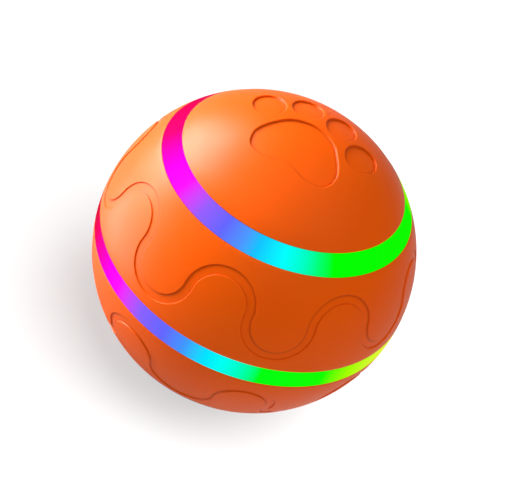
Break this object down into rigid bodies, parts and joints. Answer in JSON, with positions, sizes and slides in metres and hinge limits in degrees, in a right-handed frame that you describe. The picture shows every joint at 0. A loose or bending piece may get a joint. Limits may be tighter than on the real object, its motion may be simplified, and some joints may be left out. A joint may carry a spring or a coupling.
{
  "type": "motion-activated dog ball",
  "caption": "Ball with soft orange covers, paw print, wave channels and light rings; its halves screw apart round a geared, weighted drive unit.",
  "frame": {"origin": "centre of the ball", "axes": "+Z along the axis that the halves screw together on, towards the upper paw print; +Y the way that the upper paw print's toes point"},
  "size_m": [0.08, 0.08, 0.0798],
  "materials": {
    "orange_skin": "satin",
    "light_ring": "frosted, lit from inside",
    "frosted_core": "frosted",
    "steel": "turned",
    "weight_iron": "cast, tumbled",
    "bronze": "sintered",
    "white_gear": "moulded",
    "black_plastic": "moulded, fine grain",
    "grey_plastic": "moulded, fine grain",
    "motor_steel": "drawn, plated",
    "contact_metal": "plated",
    "cell_wrap": "shrink wrap",
    "foam": "open foam",
    "seal_rubber": "smooth",
    "board_green": "solder mask",
    "led_body": "moulded",
    "chip_black": "moulded",
    "button_orange": "moulded"
  },
  "bodies": {
    "lower_half": {"lower_core_shell": "frosted_core", "lower_cap_cover": "orange_skin", "lower_wave_cover": "orange_skin", "lower_light_ring": "light_ring", "equator_light_ring": "light_ring", "drive_axle": "steel", "axle_screw": "steel", "output_gear": "white_gear", "gear_screw": "steel"},
    "seal": {"seal_ring": "seal_rubber"},
    "upper_half": {"upper_core_shell": "frosted_core", "upper_cap_cover": "orange_skin", "upper_wave_cover": "orange_skin", "upper_light_ring": "light_ring", "pivot_bush": "bronze"},
    "drive_unit": {"gearbox_base": "grey_plastic", "gearbox_cover": "grey_plastic", "cover_screws": "steel", "axle_bush": "bronze", "gear_pins": "steel", "motor_can": "motor_steel", "motor_end_cap": "white_gear", "motor_screws": "steel", "motor_terminals": "contact_metal", "counterweight": "weight_iron", "weight_screws": "steel", "battery_cell": "cell_wrap", "battery_contacts": "contact_metal", "battery_pad": "foam", "circuit_board": "board_green", "board_screws": "steel", "ring_leds": "led_body", "charging_port": "contact_metal", "switch_body": "chip_black", "motion_sensor": "contact_metal", "control_chip": "chip_black", "top_cover": "black_plastic", "top_cover_screws": "steel", "pivot_pin": "steel"},
    "second_gear": {"second_gear": "white_gear"},
    "first_gear": {"first_gear": "white_gear"},
    "motor_rotor": {"motor_shaft": "steel", "motor_pinion": "bronze"},
    "power_button": {"power_button": "button_orange"}
  },
  "joints": [
    {"name": "shell_lift", "type": "slide", "parent": "lower_half", "child": "seal", "axis": [0, 0, 1], "range_m": [0, 0.036]},
    {"name": "half_twist", "type": "hinge", "parent": "seal", "child": "upper_half", "pos_m": [0, 0, 0], "axis": [0, 0, 1], "range_deg": [0, 540]},
    {"name": "drive_spin", "type": "hinge", "parent": "lower_half", "child": "drive_unit", "pos_m": [0, 0, 0], "axis": [0, 0, 1], "continuous": true},
    {"name": "second_gear_spin", "type": "hinge", "parent": "drive_unit", "child": "second_gear", "pos_m": [0.0133, 0, 0], "axis": [0, 0, 1], "continuous": true},
    {"name": "first_gear_spin", "type": "hinge", "parent": "drive_unit", "child": "first_gear", "pos_m": [0.00954, 0.01034, 0], "axis": [0, 0, 1], "continuous": true},
    {"name": "motor_spin", "type": "hinge", "parent": "drive_unit", "child": "motor_rotor", "pos_m": [-0.00118, 0.00786, 0], "axis": [0, 0, 1], "continuous": true},
    {"name": "button_press", "type": "slide", "parent": "drive_unit", "child": "power_button", "axis": [0, 0, -1], "range_m": [0, 0.0005], "stiffness_N_per_m": 600}
  ],
  "couplings": [
    {"joint": "shell_lift", "follows": "half_twist", "m_per_rad": 0.0038197},
    {"joint": "second_gear_spin", "follows": "drive_spin", "ratio": 2.8},
    {"joint": "first_gear_spin", "follows": "drive_spin", "ratio": -9.52},
    {"joint": "motor_spin", "follows": "drive_spin", "ratio": 32.368}
  ]
}
